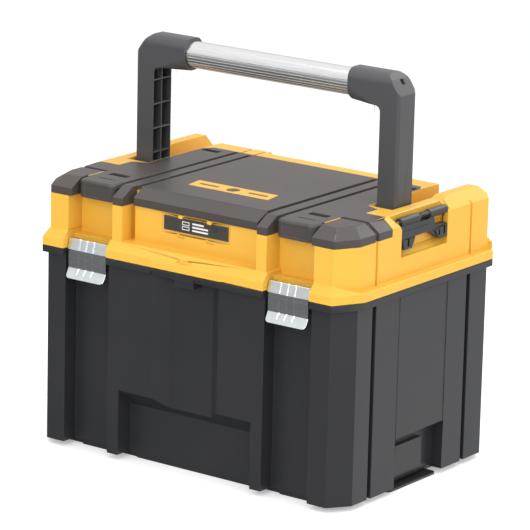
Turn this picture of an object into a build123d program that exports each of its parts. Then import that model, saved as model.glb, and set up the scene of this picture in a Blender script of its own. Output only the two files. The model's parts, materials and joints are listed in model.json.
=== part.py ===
from build123d import *
import math
import os

# Deep stackable tool box: a black base, a yellow lid with a black top cover, two
# sheet-metal front latches, two side clips, a fold-down carry handle and a lift-out tray.
# Millimetres. X runs along the front, Y towards the hinge at the back, Z up.
# The origin is the middle of the rim outline, on the surface the box stands on.

os.makedirs("parts", exist_ok=True)

# Driving sizes of the whole box
WIDTH = 440.0            # across the rim, left to right
DEPTH = 306.0            # across the rim, front to back
POST_FOOT = 6.0          # height of the corner posts' ends above the plinth's underside
RIM_LOW = 227.5          # underside of the base's rim
RIM_TOP = 235.2          # top of the base's rim
LID_LOW = 235.6          # underside of the lid
COVER_TOP = 315.0        # top of the black cover
WALL = 3.0               # moulded wall thickness

# Outlines: half sizes of the rim, the base's walls and the lid's upper walls
RIM_X = WIDTH / 2
RIM_Y = DEPTH / 2
BASE_X = 214.4
BASE_Y = 147.4
LID_X = 211.6
LID_Y = 144.6

# Front of the base and lid
BAY_X = 140.0            # centre of each latch bay
BAY_HALF = 31.5          # half its width
BAY_FLOOR_Y = -127.0     # back wall of the bays in the base
RECESS_HALF = 93.0       # half width of the lower hand recess
RECESS_Y = -124.0
RECESS_TOP = 63.0
PANEL_LOW = 83.0         # lower edge of the upper centre panel

# Inside of the base
CAVITY_X = 203.0
CAVITY_FRONT = -121.0
CAVITY_BACK = 144.0
FLOOR_Z = 9.0
SEAT_FRONT = -126.6      # front edge of the strip of rim that the seal presses on

# Lid
FLANGE_TOP = 245.0
SHOULDER_TOP = 255.0
SIDE_LEDGE = 246.0
CAP_LOW = 295.5          # lower edge of the black caps
CAP_BEVEL = 304.3        # where the caps' bevel starts
CAP_BACK = -88.5         # rear end of the corner caps
COVER_LOW = 310.0        # underside of the cover plate
LID_BAY_Y = -119.7
CENTRE_Y = -131.0        # front of the lid's centre panel
CHANNEL_IN = 155.0       # channels for the folded handle arms
CHANNEL_OUT = 185.4
CHANNEL_FLOOR = 280.0
CHANNEL_FRONT = -20.5
WELL_FRONT = 118.0       # front of the well for the folded tube
RAIL_TOP = 315.0
RECESS_IN = 199.5        # inner wall of the side clips' recesses
REAR_FLANGE_TOP = 254.0
LIP_OUT = 2.5            # how far the finger lip stands out from the flange
BLOCK_TOP = 318.0        # raised rear corner blocks

# Handle
ARM_IN = 157.4
ARM_OUT = 182.8
ARM_FRONT = -10.0
ARM_BACK = 24.0
ARM_TOP = 462.0
COLLAR_END = 113.0
COLLAR_LOW = 424.4
COLLAR_ROUND_END = 150.4
RIB_TOP = 409.1          # highest cross rib of the arms, then one each RIB_STEP
RIB_STEP = 28.4
TUBE_Y = 7.0
TUBE_Z = 443.3
TUBE_R = 15.4
TUBE_BORE_R = 15.45
FOLD_Y = 2.0
FOLD_Z = 303.0
FOLD_PIN_R = 4.0

# Hinge, latches and clips
HINGE_Y = 157.0
HINGE_Z = 236.0
HINGE_PIN_R = 1.8
KNUCKLE_R = 3.6
HINGE_STATIONS = (-130.0, 0.0, 130.0)
LATCH_PIN_Y = -138.6
LATCH_PIN_Z = 243.5
LATCH_PIN_R = 1.5
LATCH_HALF = 28.5        # half width of the latches' heads
TAIL_HALF = 27.0         # half width below the head
LATCH_BEND = 234.6
LATCH_LOW = 202.4        # tip of the finger lip
LIP_ROUND = 5.0          # cut corners of the finger lip
LATCH_SHIFT = 1.0        # both latches sit this far to the left in their bays
SHEET = 1.2
CLIP_X = 206.6
CLIP_Z = 307.0
CLIP_R = 5.0
CLIP_PIN_R = 2.0
CLIP_FRONT = -37.8
CLIP_BACK = 51.3
GROOVE_DEPTH = 2.8       # grooves between the black caps
RUNNING = 0.05           # radial running clearance of pins

# Tray
TRAY_X = 199.0
TRAY_FRONT = -118.0
TRAY_BACK = 141.0
TRAY_LOW = 168.0
TRAY_TOP = 229.0


def block(x0, x1, y0, y1, z0, z1):
    centre = ((x0 + x1) / 2, (y0 + y1) / 2, (z0 + z1) / 2)
    return Pos(*centre) * Box(abs(x1 - x0), abs(y1 - y0), abs(z1 - z0))


def prism_z(points, z0, z1):
    return extrude(Plane.XY.offset(z0) * Polygon(*points, align=None), z1 - z0, dir=(0, 0, 1))


def prism_x(points, x0, x1):
    return extrude(Plane.YZ.offset(x0) * Polygon(*points, align=None), x1 - x0, dir=(1, 0, 0))


def prism_y(points, y0, y1):
    plane = Plane(origin=(0, y0, 0), x_dir=(1, 0, 0), z_dir=(0, -1, 0))
    return extrude(plane * Polygon(*points, align=None), y1 - y0, dir=(0, 1, 0))


def rod_x(y, z, r, x0, x1):
    return extrude(Plane.YZ.offset(x0) * (Pos(y, z) * Circle(r)), x1 - x0)


def rod_y(x, z, r, y0, y1):
    plane = Plane(origin=(x, y0, z), x_dir=(1, 0, 0), z_dir=(0, 1, 0))
    return extrude(plane * Circle(r), y1 - y0)


def rod_z(x, y, r, z0, z1):
    return extrude(Plane.XY.offset(z0) * (Pos(x, y) * Circle(r)), z1 - z0)


def flip(shape):
    return mirror(shape, about=Plane.YZ)


def both(shape):
    return shape + flip(shape)


def outline(half_x, half_y, front_facet, rear_facet):
    # Closed outline, symmetric in X, with its four corners cut off by flat facets.
    fx, fy = front_facet
    rx, ry = rear_facet
    right = [
        (half_x - fx, -half_y), (half_x, fy - half_y),
        (half_x, half_y - ry), (half_x - rx, half_y),
    ]
    left = [(-x, y) for x, y in reversed(right)]
    return right + left


def bent_sheet(points, thickness, x0, x1):
    # Sheet metal: a folded line in the YZ plane, thickened towards the box.
    inner = []
    for i, (y, z) in enumerate(points):
        ay, az = points[max(i - 1, 0)]
        by, bz = points[min(i + 1, len(points) - 1)]
        length = math.hypot(by - ay, bz - az)
        inner.append((y - thickness * (bz - az) / length, z + thickness * (by - ay) / length))
    return prism_x(points + inner[::-1], x0, x1)


RIM_OUTLINE = outline(RIM_X, RIM_Y, (19, 35), (19, 19))
BASE_OUTLINE = outline(BASE_X, BASE_Y, (17.7, 24.9), (17.7, 16.9))
LID_OUTLINE = outline(LID_X, LID_Y, (15.6, 27.2), (15.6, 10.6))


# Base

def base_cavity():
    room = block(-CAVITY_X, CAVITY_X, CAVITY_FRONT, CAVITY_BACK, FLOOR_Z, RIM_TOP + 1)
    room = fillet(room.edges().filter_by(Axis.Z), 14)
    room += block(-188, 188, CAVITY_FRONT + 1, 124, WALL, FLOOR_Z + 1)
    side_x = BASE_X - WALL
    pockets = block(CAVITY_X - 1, side_x, -80, 83, 70, RIM_TOP + 1)
    pockets += block(CAVITY_X - 1, side_x, -119, -101, FLOOR_Z, RIM_TOP + 1)
    pockets += block(CAVITY_X - 1, side_x, 104, 129, FLOOR_Z, RIM_TOP + 1)
    pockets += block(174.7, 194, WALL - BASE_Y, CAVITY_FRONT + 1, FLOOR_Z, RIM_LOW)
    pockets += block(96, 105.6, WALL - BASE_Y, CAVITY_FRONT + 1, PANEL_LOW + WALL, RIM_LOW)
    # Slots through the rim, in front of the seat of the lid's seal
    pockets += block(174.7, 191, WALL - BASE_Y, SEAT_FRONT, RIM_LOW - 1, RIM_TOP + 1)
    pockets += block(49, 105.6, WALL - BASE_Y, SEAT_FRONT, RIM_LOW - 1, RIM_TOP + 1)
    pockets += block(-1, 50, -132.4, SEAT_FRONT, RIM_LOW - 1, RIM_TOP + 1)
    room += both(pockets)
    middle = block(-97, 97, -132.4, CAVITY_FRONT + 1, PANEL_LOW + WALL, RIM_LOW)
    beside_channel = block(49, 97, WALL - BASE_Y, -131, PANEL_LOW + WALL, RIM_LOW)
    return room + middle + both(beside_channel)


def base_front_cuts():
    bay = block(BAY_X - BAY_HALF, BAY_X + BAY_HALF, -160, BAY_FLOOR_Y, -1, RIM_TOP + 1)
    recess = [
        (-160, -1), (RECESS_Y, -1), (RECESS_Y, RECESS_TOP), (-BASE_Y, PANEL_LOW), (-160, PANEL_LOW),
    ]
    cuts = both(bay) + prism_x(recess, -RECESS_HALF, RECESS_HALF)
    channel = [(-46, -149), (46, -149), (46, -BASE_Y), (30, -135.4), (-30, -135.4), (-46, -BASE_Y)]
    return cuts + prism_z(channel, PANEL_LOW - 20, RIM_LOW)


def base_side_cuts():
    cuts = block(206.4, 216, -94, -87.6, -1, 225)
    cuts += block(206.4, 216, 90.4, 96.8, -1, 225)
    # Recess over the plinth's lip, with a plate part of the way across it
    side_recess = block(199, 216, -42, 52, -1, 63)
    side_recess -= block(198, 206, -43, 23, 15.5, 50.2)
    panel = block(BASE_X - 0.4, 216, -42, 52, 63, 225)
    return both(cuts + side_recess + panel)


def base_rear_cuts():
    groove = block(60, 68, BASE_Y - 2.4, BASE_Y + 1, -1, 222)
    groove += block(186, 192, BASE_Y - 2.4, BASE_Y + 1, -1, 222)
    recess = [(160, -1), (138, -1), (138, 50), (BASE_Y, 62), (160, 62)]
    return both(groove) + prism_x(recess, -60, 60)


def base_knuckles():
    arm = [(152, 222), (153, 222), (160.4, 234.6), (HINGE_Y, HINGE_Z), (153, 235.2), (152, 235.2)]
    knuckles = None
    for x in HINGE_STATIONS:
        for x0, x1 in ((x - 22, x - 10.3), (x + 10.3, x + 22)):
            piece = prism_x(arm, x0, x1) + rod_x(HINGE_Y, HINGE_Z, KNUCKLE_R, x0, x1)
            knuckles = piece if knuckles is None else knuckles + piece
    for x in HINGE_STATIONS:
        knuckles -= rod_x(HINGE_Y, HINGE_Z, HINGE_PIN_R + 0.01, x - 23, x + 23)
    return knuckles


def base_inner_shelves():
    # Four shelves that the tray rests on.
    shelf = [(204, 148), (204, TRAY_LOW - 0.3), (195.5, TRAY_LOW - 0.3), (195.5, TRAY_LOW - 4)]
    return both(prism_y(shelf, -101, -80) + prism_y(shelf, 83, 104))


def box_body():
    body = prism_z(BASE_OUTLINE, POST_FOOT, RIM_LOW + 1)
    body += prism_z(RIM_OUTLINE, RIM_LOW, RIM_TOP)
    body += block(-192, 192, RECESS_Y - 0.5, 127, 0, POST_FOOT + 1)
    body -= base_front_cuts()
    body -= base_side_cuts()
    body -= base_rear_cuts()
    hollow = base_cavity()
    around_recess = block(195, 216, -46, 56, 0, 68)
    body -= hollow - both(around_recess)
    body += both(block(196, 199.5, -46, 56, FLOOR_Z - 1, 66) & hollow)
    # Catches that the latch hooks grip
    catch = [(BAY_FLOOR_Y + 1, 224), (-139.4, 224), (-139.4, 227), (-136, 231), (BAY_FLOOR_Y + 1, 233)]
    body += both(prism_x(catch, BAY_X - 22, BAY_X + 22))
    # Lip of the plinth under each side recess
    lip = fillet(block(190, 209.6, -44, 50, 0, 3).edges().filter_by(Axis.Z), 6)
    body += both(lip)
    # The plinth's front edge stops short of the posts
    short = block(83, 118, -160, -121.5, -1, POST_FOOT) + block(162, 193, -160, -121.5, -1, POST_FOOT)
    body -= both(short)
    # Centre tab under the lid's finger lip, between two gaps in the rim's lower edge
    body -= both(block(14, 46, -160, -RIM_Y + 2.6, RIM_LOW - 1, RIM_LOW + 3.6))
    body += block(-14, 13, -BASE_Y - 3.2, -BASE_Y + 14, 219.5, RIM_LOW + 0.5)
    body += base_inner_shelves()
    body += base_knuckles()
    return body


# Lid

def lid_footprint():
    right = [
        (85, CENTRE_Y), (85, -120.8), (93.3, -120.8), (93.3, -LID_Y), (107, -LID_Y),
        (107, LID_BAY_Y), (170.5, LID_BAY_Y), (170.5, -LID_Y), (196, -LID_Y), (LID_X, 27.2 - LID_Y),
        (LID_X, LID_Y - 10.6), (LID_X - 15.6, LID_Y),
    ]
    return right + [(-x, y) for x, y in reversed(right)]


def lid_shoulder():
    # Flange with a sloping shoulder on the front, which falls to a flat ledge along the sides.
    low = Plane.XY.offset(FLANGE_TOP) * Polygon(*RIM_OUTLINE, align=None)
    high = Plane.XY.offset(SHOULDER_TOP) * Polygon(*LID_OUTLINE, align=None)
    slope = loft([low, high], ruled=True)
    facet_len = math.hypot(15.6, 27.2)
    along = (15.6 / facet_len, 27.2 / facet_len, 0)
    plane = Plane(origin=(196, -LID_Y, 0), x_dir=along, z_dir=(along[1], -along[0], 0))
    fall = [(0, SHOULDER_TOP), (facet_len, SIDE_LEDGE), (60, SIDE_LEDGE), (60, 300), (0, 300)]
    above = extrude(plane * Polygon(*fall, align=None), 60, dir=(along[1], -along[0], 0))
    above += block(LID_X - 0.2, 260, 27.2 - LID_Y, LID_Y - 10.6, SIDE_LEDGE, 300)
    return prism_z(RIM_OUTLINE, LID_LOW, FLANGE_TOP) + (slope - both(above))


def lid_upper():
    # Everything above the columns: roof under the cover, side rails and rear blocks.
    roof = block(-165, 165, -117.5, WELL_FRONT, CAP_LOW - 1, RAIL_TOP)
    foot = CAP_LOW - 1
    rail = [(160, foot), (LID_X, foot), (LID_X, CAP_BEVEL), (199, RAIL_TOP), (160, RAIL_TOP)]
    rails = prism_y(rail, -117.5, 60)
    raised = [(180, foot), (LID_X, foot), (LID_X, 305), (200, BLOCK_TOP), (180, BLOCK_TOP)]
    rear = prism_y(raised, 56, LID_Y)
    rear -= prism_x([(128, BLOCK_TOP + 1), (LID_Y - 3, 305), (LID_Y + 1, 300), (160, 330)], 100, 230)
    rear -= prism_x([(50, BLOCK_TOP + 1), (50, RAIL_TOP), (56, RAIL_TOP), (66, BLOCK_TOP + 1)], 100, 230)
    upper = roof + both(rails + rear)
    return upper & prism_z(LID_OUTLINE, CAP_LOW - 2, BLOCK_TOP + 1)


def lid_rear_flange():
    # The flange stands higher round the back, behind the hinge.
    band = prism_z(RIM_OUTLINE, FLANGE_TOP - 1, REAR_FLANGE_TOP)
    return band & block(-RIM_X, RIM_X, RIM_Y - 15, RIM_Y + 1, 240, 260)


def finger_lip():
    # Lip in the middle of the flange, with bevelled ends and a sloping top.
    front = -RIM_Y - LIP_OUT
    foot = [(-50, -RIM_Y), (-42, front), (42, front), (50, -RIM_Y), (50, -148), (-50, -148)]
    lip = prism_z(foot, LID_LOW + 1, 247)
    over = [(front - 3, 245), (front, 245), (-149, 247.6), (-149, 250), (front - 3, 250)]
    return lip - prism_x(over, -51, 51)


def lip_dimple():
    # Shallow oval set into the sloping shoulder above the lip.
    rise = (SHOULDER_TOP - FLANGE_TOP) / (RIM_Y - LID_Y)
    middle = Plane(origin=(-1, -150.4, FLANGE_TOP + 2.6 * rise), x_dir=(1, 0, 0), z_dir=(0, -rise, 1))
    oval = extrude(middle * Ellipse(10.5, 2.3), 0.7, both=True)
    core = extrude(middle * Ellipse(8.6, 1.1), 0.7, both=True)
    return oval - core


def label_tabs():
    # Tabs over the window's upper edge, and the slots of the mould's cores below it.
    tabs = block(17, 23, CENTRE_Y - 2.4, CENTRE_Y + 0.5, 293.8, CAP_LOW)
    tabs += block(17, 23, CENTRE_Y - 2.4, CENTRE_Y - 1.35, 291.4, CAP_LOW)
    return both(tabs)


def label_slots():
    slots = block(15, 25, CENTRE_Y - 1, CENTRE_Y + 1.5, 268.6, 270.4)
    slots += block(15, 16.6, CENTRE_Y - 1, CENTRE_Y + 1.5, 268.6, 272.6)
    return slots + Pos(-40, 0, 0) * slots


def cover_polygon(gap):
    # Footprint of the black cover, grown by gap where it sits in the lid.
    right = [
        (86, -116), (86, -117.5), (108, -117.5), (108, -118), (164, -118), (164, -88.2 - gap),
        (197, -88.2 - gap), (199 + gap, -52 + gap), (172 + gap, -52 + gap), (172 + gap, -29 + gap),
        (CHANNEL_IN - 0.5, -22 + gap), (CHANNEL_IN - 0.5, 80), (146 + gap, 93 + gap),
    ]
    return right + [(-x, y) for x, y in reversed(right)]


def cap_outline():
    return [(166.5, -LID_Y), (196, -LID_Y), (LID_X, 27.2 - LID_Y), (LID_X, CAP_BACK), (166.5, CAP_BACK)]


def corner_cap_seat():
    return block(164.1, 230, -150, CAP_BACK + 0.2, CAP_LOW, RAIL_TOP + 10)


def side_cap_seat():
    return block(190, 215, CAP_BACK, -56.3, CAP_LOW, RAIL_TOP + 10)


def latch_notch(x):
    notch = block(x - 30.6, x + 30.6, -160, -132.8, LID_LOW - 1, SHOULDER_TOP + 1)
    lower_shelf = block(x - 30.6, x + 30.6, -133, LID_BAY_Y, 250, SHOULDER_TOP + 1)
    return notch + lower_shelf


def lid_cavity():
    room = block(-152, 152, -116.7, 115, LID_LOW - 1, COVER_LOW - WALL)
    side = LID_X - WALL
    back = LID_Y - WALL
    low_room = [(-side, -108), (side, -108), (side, 131), (193.5, back), (-193.5, back), (-side, 131)]
    room += prism_z(low_room, LID_LOW - 1, CHANNEL_FLOOR - WALL)
    room += both(block(150, 190, -116.7, CHANNEL_FRONT - WALL, LID_LOW - 1, CAP_LOW - WALL))
    room += both(block(CHANNEL_OUT + WALL, 196.5, 56, 130, LID_LOW - 1, RAIL_TOP - WALL))
    # Wall left round the recesses of the side clips
    room -= both(block(RECESS_IN - WALL, LID_X, -42, 55, 264, 280))
    return room


def clip_recess():
    mouth = block(RECESS_IN, 215, -38.5, 52, 274, 330)
    corner = prism_x([(-38.5, 330), (-38.5, 300), (-50, 318), (-50, 330)], RECESS_IN, 215)
    lower = prism_y([(RECESS_IN, 275), (215, 275), (215, 268.5), (RECESS_IN + 7, 268.5)], -38.5, 52)
    return mouth + corner + lower


def lid_hinge_knuckles():
    arm = [
        (152, HINGE_Z + 0.4), (153, HINGE_Z), (HINGE_Y, HINGE_Z), (160.4, 237.4), (153, 250), (152, 250),
    ]
    knuckles = None
    for x in HINGE_STATIONS:
        piece = prism_x(arm, x - 10, x + 10) + rod_x(HINGE_Y, HINGE_Z, KNUCKLE_R, x - 10, x + 10)
        piece -= rod_x(HINGE_Y, HINGE_Z, HINGE_PIN_R + RUNNING, x - 11, x + 11)
        knuckles = piece if knuckles is None else knuckles + piece
    return knuckles


def seal_ring(low, high, slack):
    outer = Rectangle(2 * (217 + slack), 277 + 2 * slack)
    inner = Rectangle(2 * (213 - slack), 269 - 2 * slack)
    outer = fillet(outer.vertices(), 28)
    inner = fillet(inner.vertices(), 24)
    middle = (151 - 126) / 2
    ring = Pos(0, middle, low) * extrude(outer - inner, high - low)
    return ring


def lid_shell():
    shell = lid_shoulder() + prism_z(lid_footprint(), FLANGE_TOP - 1, CAP_LOW) + lid_upper()
    shell += lid_rear_flange()
    shell -= prism_z(cover_polygon(0.15), COVER_LOW, RAIL_TOP + 10)
    shell -= both(corner_cap_seat() + side_cap_seat())
    shell -= block(-165, 165, -150, -117.4, CAP_LOW, RAIL_TOP + 10)
    shell -= block(-86.2, 86.2, -118, -115, COVER_LOW, RAIL_TOP + 10)
    # Channels for the folded arms, and the well behind for the folded tube
    channel = block(CHANNEL_IN, CHANNEL_OUT, CHANNEL_FRONT, 170, CHANNEL_FLOOR, 340)
    shell -= both(channel)
    well = block(-CHANNEL_OUT, CHANNEL_OUT, WELL_FRONT, 170, CHANNEL_FLOOR, 340)
    shell -= well
    shell += both(block(CHANNEL_IN - 5, CHANNEL_IN, 93, WELL_FRONT, CHANNEL_FLOOR - WALL, RAIL_TOP))
    shell -= both(latch_notch(BAY_X))
    shell -= both(clip_recess())
    # Vertical grooves in the side walls
    shell -= both(block(208.8, 215, -87.5, -83, SIDE_LEDGE, CAP_LOW + 1))
    shell -= both(block(208.8, 225, 96.8, 101, SIDE_LEDGE, 330))
    # Notches in the yellow edge behind the cover
    for x in (-108, -88.5):
        shell -= block(x, x + 3.4, 93, WELL_FRONT + 1, RAIL_TOP - 4.5, RAIL_TOP + 1)
    shell -= block(-80, 80, 110, WELL_FRONT + 1, RAIL_TOP - 2, RAIL_TOP + 1)
    # Label pocket and finger lip
    shell -= block(-47.7, 47.7, CENTRE_Y - 1, CENTRE_Y + 1.6, 273, 293.7)
    shell += finger_lip() + label_tabs()
    shell -= lip_dimple() + label_slots()
    shell -= lid_cavity()
    shell -= seal_ring(LID_LOW - 1, LID_LOW + 2.2, 0.1)
    shell += lid_hinge_knuckles()
    shell -= both(lid_pin_holes())
    for x, y in COVER_SCREWS:
        shell -= rod_z(x, y, 2.0, COVER_LOW - WALL - 1, COVER_LOW + 1)
    return shell


def lid_pin_holes():
    holes = rod_x(FOLD_Y, FOLD_Z, FOLD_PIN_R + 0.01, 148, 191)
    holes += rod_x(LATCH_PIN_Y, LATCH_PIN_Z, LATCH_PIN_R + 0.01, BAY_X - 34, BAY_X + 34)
    holes += rod_y(CLIP_X, CLIP_Z, CLIP_PIN_R + 0.01, CLIP_FRONT - 5, CLIP_BACK + 4.5)
    return holes


# Black cover and caps

COVER_SCREWS = [(sx * x, y) for sx in (-1, 1) for x, y in ((62, -92), (62, 0), (62, 82), (130, 60))]


def column_cap(x0, x1):
    side = [
        (-LID_Y, CAP_LOW), (-LID_Y, CAP_BEVEL), (-126, COVER_TOP), (-100, COVER_TOP),
        (-100, COVER_LOW), (-117.5, COVER_LOW), (-117.5, CAP_LOW),
    ]
    return prism_x(side, x0, x1)


def centre_overhang():
    side = [
        (-133.4, 296), (-133.4, 305.2), (-115, COVER_TOP), (-100, COVER_TOP), (-100, COVER_LOW),
        (-117.4, COVER_LOW), (-117.4, 296),
    ]
    return prism_x(side, -86, 86)


def bay_cap(x):
    body = block(x - 26.5, x + 24.5, -136.4, -110, 294.5, COVER_TOP)
    body = fillet(body.edges().filter_by(Axis.Z).sort_by(Axis.Y)[:2], 8)
    body = fillet(body.faces().sort_by(Axis.Z)[-1].edges().sort_by(Axis.Y)[:3], 3.5)
    body -= block(x - 17, x + 15, -137, -135.6, 297.5, 311)
    body -= block(x - 40, x + 40, -117.4, -100, 290, COVER_LOW)
    body -= block(x - 40, x + 40, LID_BAY_Y - 0.1, -100, 290, CAP_LOW)
    return body


def side_cap():
    def section(inset):
        return [
            (190.2, CAP_LOW), (LID_X - inset, CAP_LOW), (LID_X - inset, CAP_BEVEL - inset / 2),
            (197, COVER_TOP - inset), (190.2, COVER_TOP - inset),
        ]
    # A groove is left in front of it, behind the corner cap
    return prism_y(section(0), -82.3, -56.5) + prism_y(section(GROOVE_DEPTH), CAP_BACK + 0.3, -82)


def top_cover():
    cover = prism_z(cover_polygon(0), COVER_LOW, COVER_TOP)
    cover += centre_overhang()
    for s in (-1, 1):
        cover += bay_cap(s * BAY_X - 2 * s + 1)
    cover += both(column_cap(93.3, 107) + side_cap())
    cover -= both(block(163.9, 198.5, -95, -82.3, COVER_TOP - GROOVE_DEPTH, COVER_TOP + 1))
    # Long grooves that locate a box stacked on top
    groove_floor = COVER_TOP - 3.6
    for x0, x1, back in ((86.2, 92.4, 88), (107, 113.2, 90)):
        cover -= both(block(x0, x1, -150, back, groove_floor, COVER_TOP + 1))
    cover -= both(block(86.2, 93.3, -150, -117, 290, COVER_TOP + 1))
    # Slots that take the hooks of a box stacked on top
    for y0, y1, x0, x1 in ((-116.6, -114.4, 127, 150), (-98, -87.5, 126, 152), (72, 82, 126, 150)):
        cover -= both(block(x0, x1, y0, y1, COVER_TOP - 3.5, COVER_TOP + 1))
    cover -= prism_z(badge_outline(), COVER_TOP - 0.8, COVER_TOP + 1)
    for x, y in COVER_SCREWS:
        cover -= rod_z(x, y, 1.6, COVER_LOW - 1, COVER_LOW + 3.2)
    return cover


def corner_cap():
    foot = cap_outline()
    top = [(166.5, -126), (187.5, -127), (196.8, -107), (196.8, CAP_BACK), (166.5, CAP_BACK)]
    cap = prism_z(foot, CAP_LOW, CAP_BEVEL)
    low_face = Plane.XY.offset(CAP_BEVEL) * Polygon(*foot, align=None)
    high_face = Plane.XY.offset(COVER_TOP) * Polygon(*top, align=None)
    cap += loft([low_face, high_face], ruled=True)
    # Step that fills the gap beside the cover
    return cap + block(164.3, 167, -117.2, CAP_BACK, CAP_LOW, COVER_TOP - GROOVE_DEPTH)


def badge_outline():
    return [(-57, -51), (53, -51), (57, -76), (-53, -76)]


def cover_badge():
    badge = prism_z(badge_outline(), COVER_TOP - 0.8, COVER_TOP + 0.2)
    # A plain hexagon nut shape between bars
    for x in (-34, 34):
        badge -= prism_z([(x - 14, -60), (x + 13, -60), (x + 14, -66), (x - 13, -66)],
                         COVER_TOP - 0.3, COVER_TOP + 1)
    nut = extrude(Plane.XY.offset(COVER_TOP - 0.3) * (Pos(0, -63.5) * RegularPolygon(9, 6)), 2)
    return badge - nut


def cover_screws():
    screws = None
    for x, y in COVER_SCREWS:
        screw = rod_z(x, y, 3.6, COVER_LOW - WALL - 2.4, COVER_LOW - WALL)
        screw += rod_z(x, y, 1.6, COVER_LOW - WALL - 1, COVER_LOW + 3)
        screw -= block(x - 2, x + 2, y - 0.5, y + 0.5, 300, COVER_LOW - WALL - 1.4)
        screw -= block(x - 0.5, x + 0.5, y - 2, y + 2, 300, COVER_LOW - WALL - 1.4)
        screws = screw if screws is None else screws + screw
    return screws


def lid_seal():
    return seal_ring(LID_LOW - 0.25, LID_LOW + 2.1, 0)


def label_window():
    window = block(-47.5, 47.5, CENTRE_Y - 1.2, CENTRE_Y + 0.2, 273.2, 293.5)
    return fillet(window.edges().filter_by(Axis.Y), 1.5)


def label_card():
    return block(-44.5, 44.5, CENTRE_Y + 0.3, CENTRE_Y + 1.3, 275.6, 291.6)


# Front latches

def front_latch():
    # Wide bright head, then a narrower plate with a finger lip bent out at its lower end
    head = [(-142.2, 247.2), (-143.4, 246.2), (-146.8, LATCH_BEND)]
    tail = [
        (-146.8, LATCH_BEND), (-146.2, 213.5), (-147.2, 211.4), (-149.4, 207.0), (-152.5, LATCH_LOW),
    ]
    plate = bent_sheet(head, SHEET, -LATCH_HALF, LATCH_HALF)
    plate += bent_sheet(tail, SHEET, -TAIL_HALF, TAIL_HALF)
    corner = LATCH_LOW + LIP_ROUND - 2
    rounded = block(-TAIL_HALF, TAIL_HALF, -160, -120, corner, 260)
    tip = TAIL_HALF - LIP_ROUND
    lip = [(-TAIL_HALF, corner), (-tip, LATCH_LOW - 2), (tip, LATCH_LOW - 2), (TAIL_HALF, corner)]
    rounded += prism_y(lip, -160, -120)
    rounded += block(-LATCH_HALF, LATCH_HALF, -160, -120, LATCH_BEND - 1, 260)
    plate &= rounded
    path = head[1:] + tail[1:3]
    for x in (-12, -2, 8):
        groove = [(y - 0.75, z) for y, z in path] + [(y + 0.45, z) for y, z in path][::-1]
        plate -= prism_x(groove, x - 0.8, x + 0.8)
    # Side ears carry the pin, and a bent hook grips under the base's catch
    ear = [
        (-143.0, 246.4), (-138.6, 247.6), (-134.8, 245.2), (-134.8, 241.2), (-139.5, 229),
        (-141.5, 214.5), (-145.9, 214.5), (-146.2, LATCH_BEND - 1),
    ]
    for x0, x1 in ((-TAIL_HALF, SHEET - TAIL_HALF), (TAIL_HALF - SHEET, TAIL_HALF)):
        plate += prism_x(ear, x0, x1)
    hook = [
        (-145.9, 221.6), (-136.8, 221.6), (-135.4, 223.2), (-136.2, 223.4), (-137.4, 222.8),
        (-145.9, 222.8),
    ]
    plate += prism_x(hook, -17, 17)
    return plate - rod_x(LATCH_PIN_Y, LATCH_PIN_Z, LATCH_PIN_R + RUNNING, -40, 40)


def front_latch_pins():
    pin = rod_x(LATCH_PIN_Y, LATCH_PIN_Z, LATCH_PIN_R, BAY_X - 33.5, BAY_X + 33.5)
    return both(pin)


# Side clips

def side_clip():
    plate = [
        (CLIP_FRONT, 304), (CLIP_FRONT, 286), (-32, 276), (-17, 276), (-9, 287.5), (18, 288.5),
        (36, 276.5), (CLIP_BACK, 276), (CLIP_BACK, 292), (30, 292.5), (27, 304),
    ]
    clip = prism_x(plate, 203.6, 209.4)
    step = block(208.4, 210.2, CLIP_FRONT, 18, 288, 296) + block(202, 204, -30, 40, 288, 294)
    clip += step & prism_x(plate, 201, 212)
    legs = prism_x([(CLIP_FRONT + 2, 287), (-32, 276), (-17, 276), (-11, 287)], 203.6, 211)
    legs += prism_x([(28, 287), (36, 276.5), (CLIP_BACK, 276), (CLIP_BACK, 291)], 203.6, 211)
    clip += legs
    for y0, y1, z0, z1 in ((-26, -22.6, 278.5, 287), (34.8, 37.4, 280.5, 287), (44.4, 47.6, 280, 289.5)):
        clip -= block(207, 213, y0, y1, z0, z1)
    clip += rod_y(CLIP_X, CLIP_Z, CLIP_R, CLIP_FRONT, CLIP_BACK)
    clip -= rod_y(CLIP_X, CLIP_Z, CLIP_R + 0.5, -2, 18)
    clip -= rod_y(CLIP_X, CLIP_Z, CLIP_PIN_R + RUNNING, CLIP_FRONT - 1, CLIP_BACK + 1)
    return clip


def side_clip_pins():
    return both(rod_y(CLIP_X, CLIP_Z, CLIP_PIN_R, CLIP_FRONT - 4.5, CLIP_BACK + 4))


def side_clip_springs():
    coil = None
    turns = 7
    for i in range(turns):
        y = 0.2 + i * 2.4
        turn = rod_y(CLIP_X, CLIP_Z, 4.2, y, y + 1.5) - rod_y(CLIP_X, CLIP_Z, 2.5, y - 1, y + 3)
        coil = turn if coil is None else coil + turn
    last = 0.2 + 2.4 * (turns - 1) + 1.5
    joiner = block(CLIP_X - 3.9, CLIP_X - 2.8, 0.2, last, CLIP_Z - 0.7, CLIP_Z + 0.7)
    return both(coil + joiner)


# Lid hinge

def lid_hinge_pins():
    pins = None
    for x in HINGE_STATIONS:
        pin = rod_x(HINGE_Y, HINGE_Z, HINGE_PIN_R, x - 22.5, x + 22.5)
        pins = pin if pins is None else pins + pin
    return pins


# Carry handle

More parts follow.
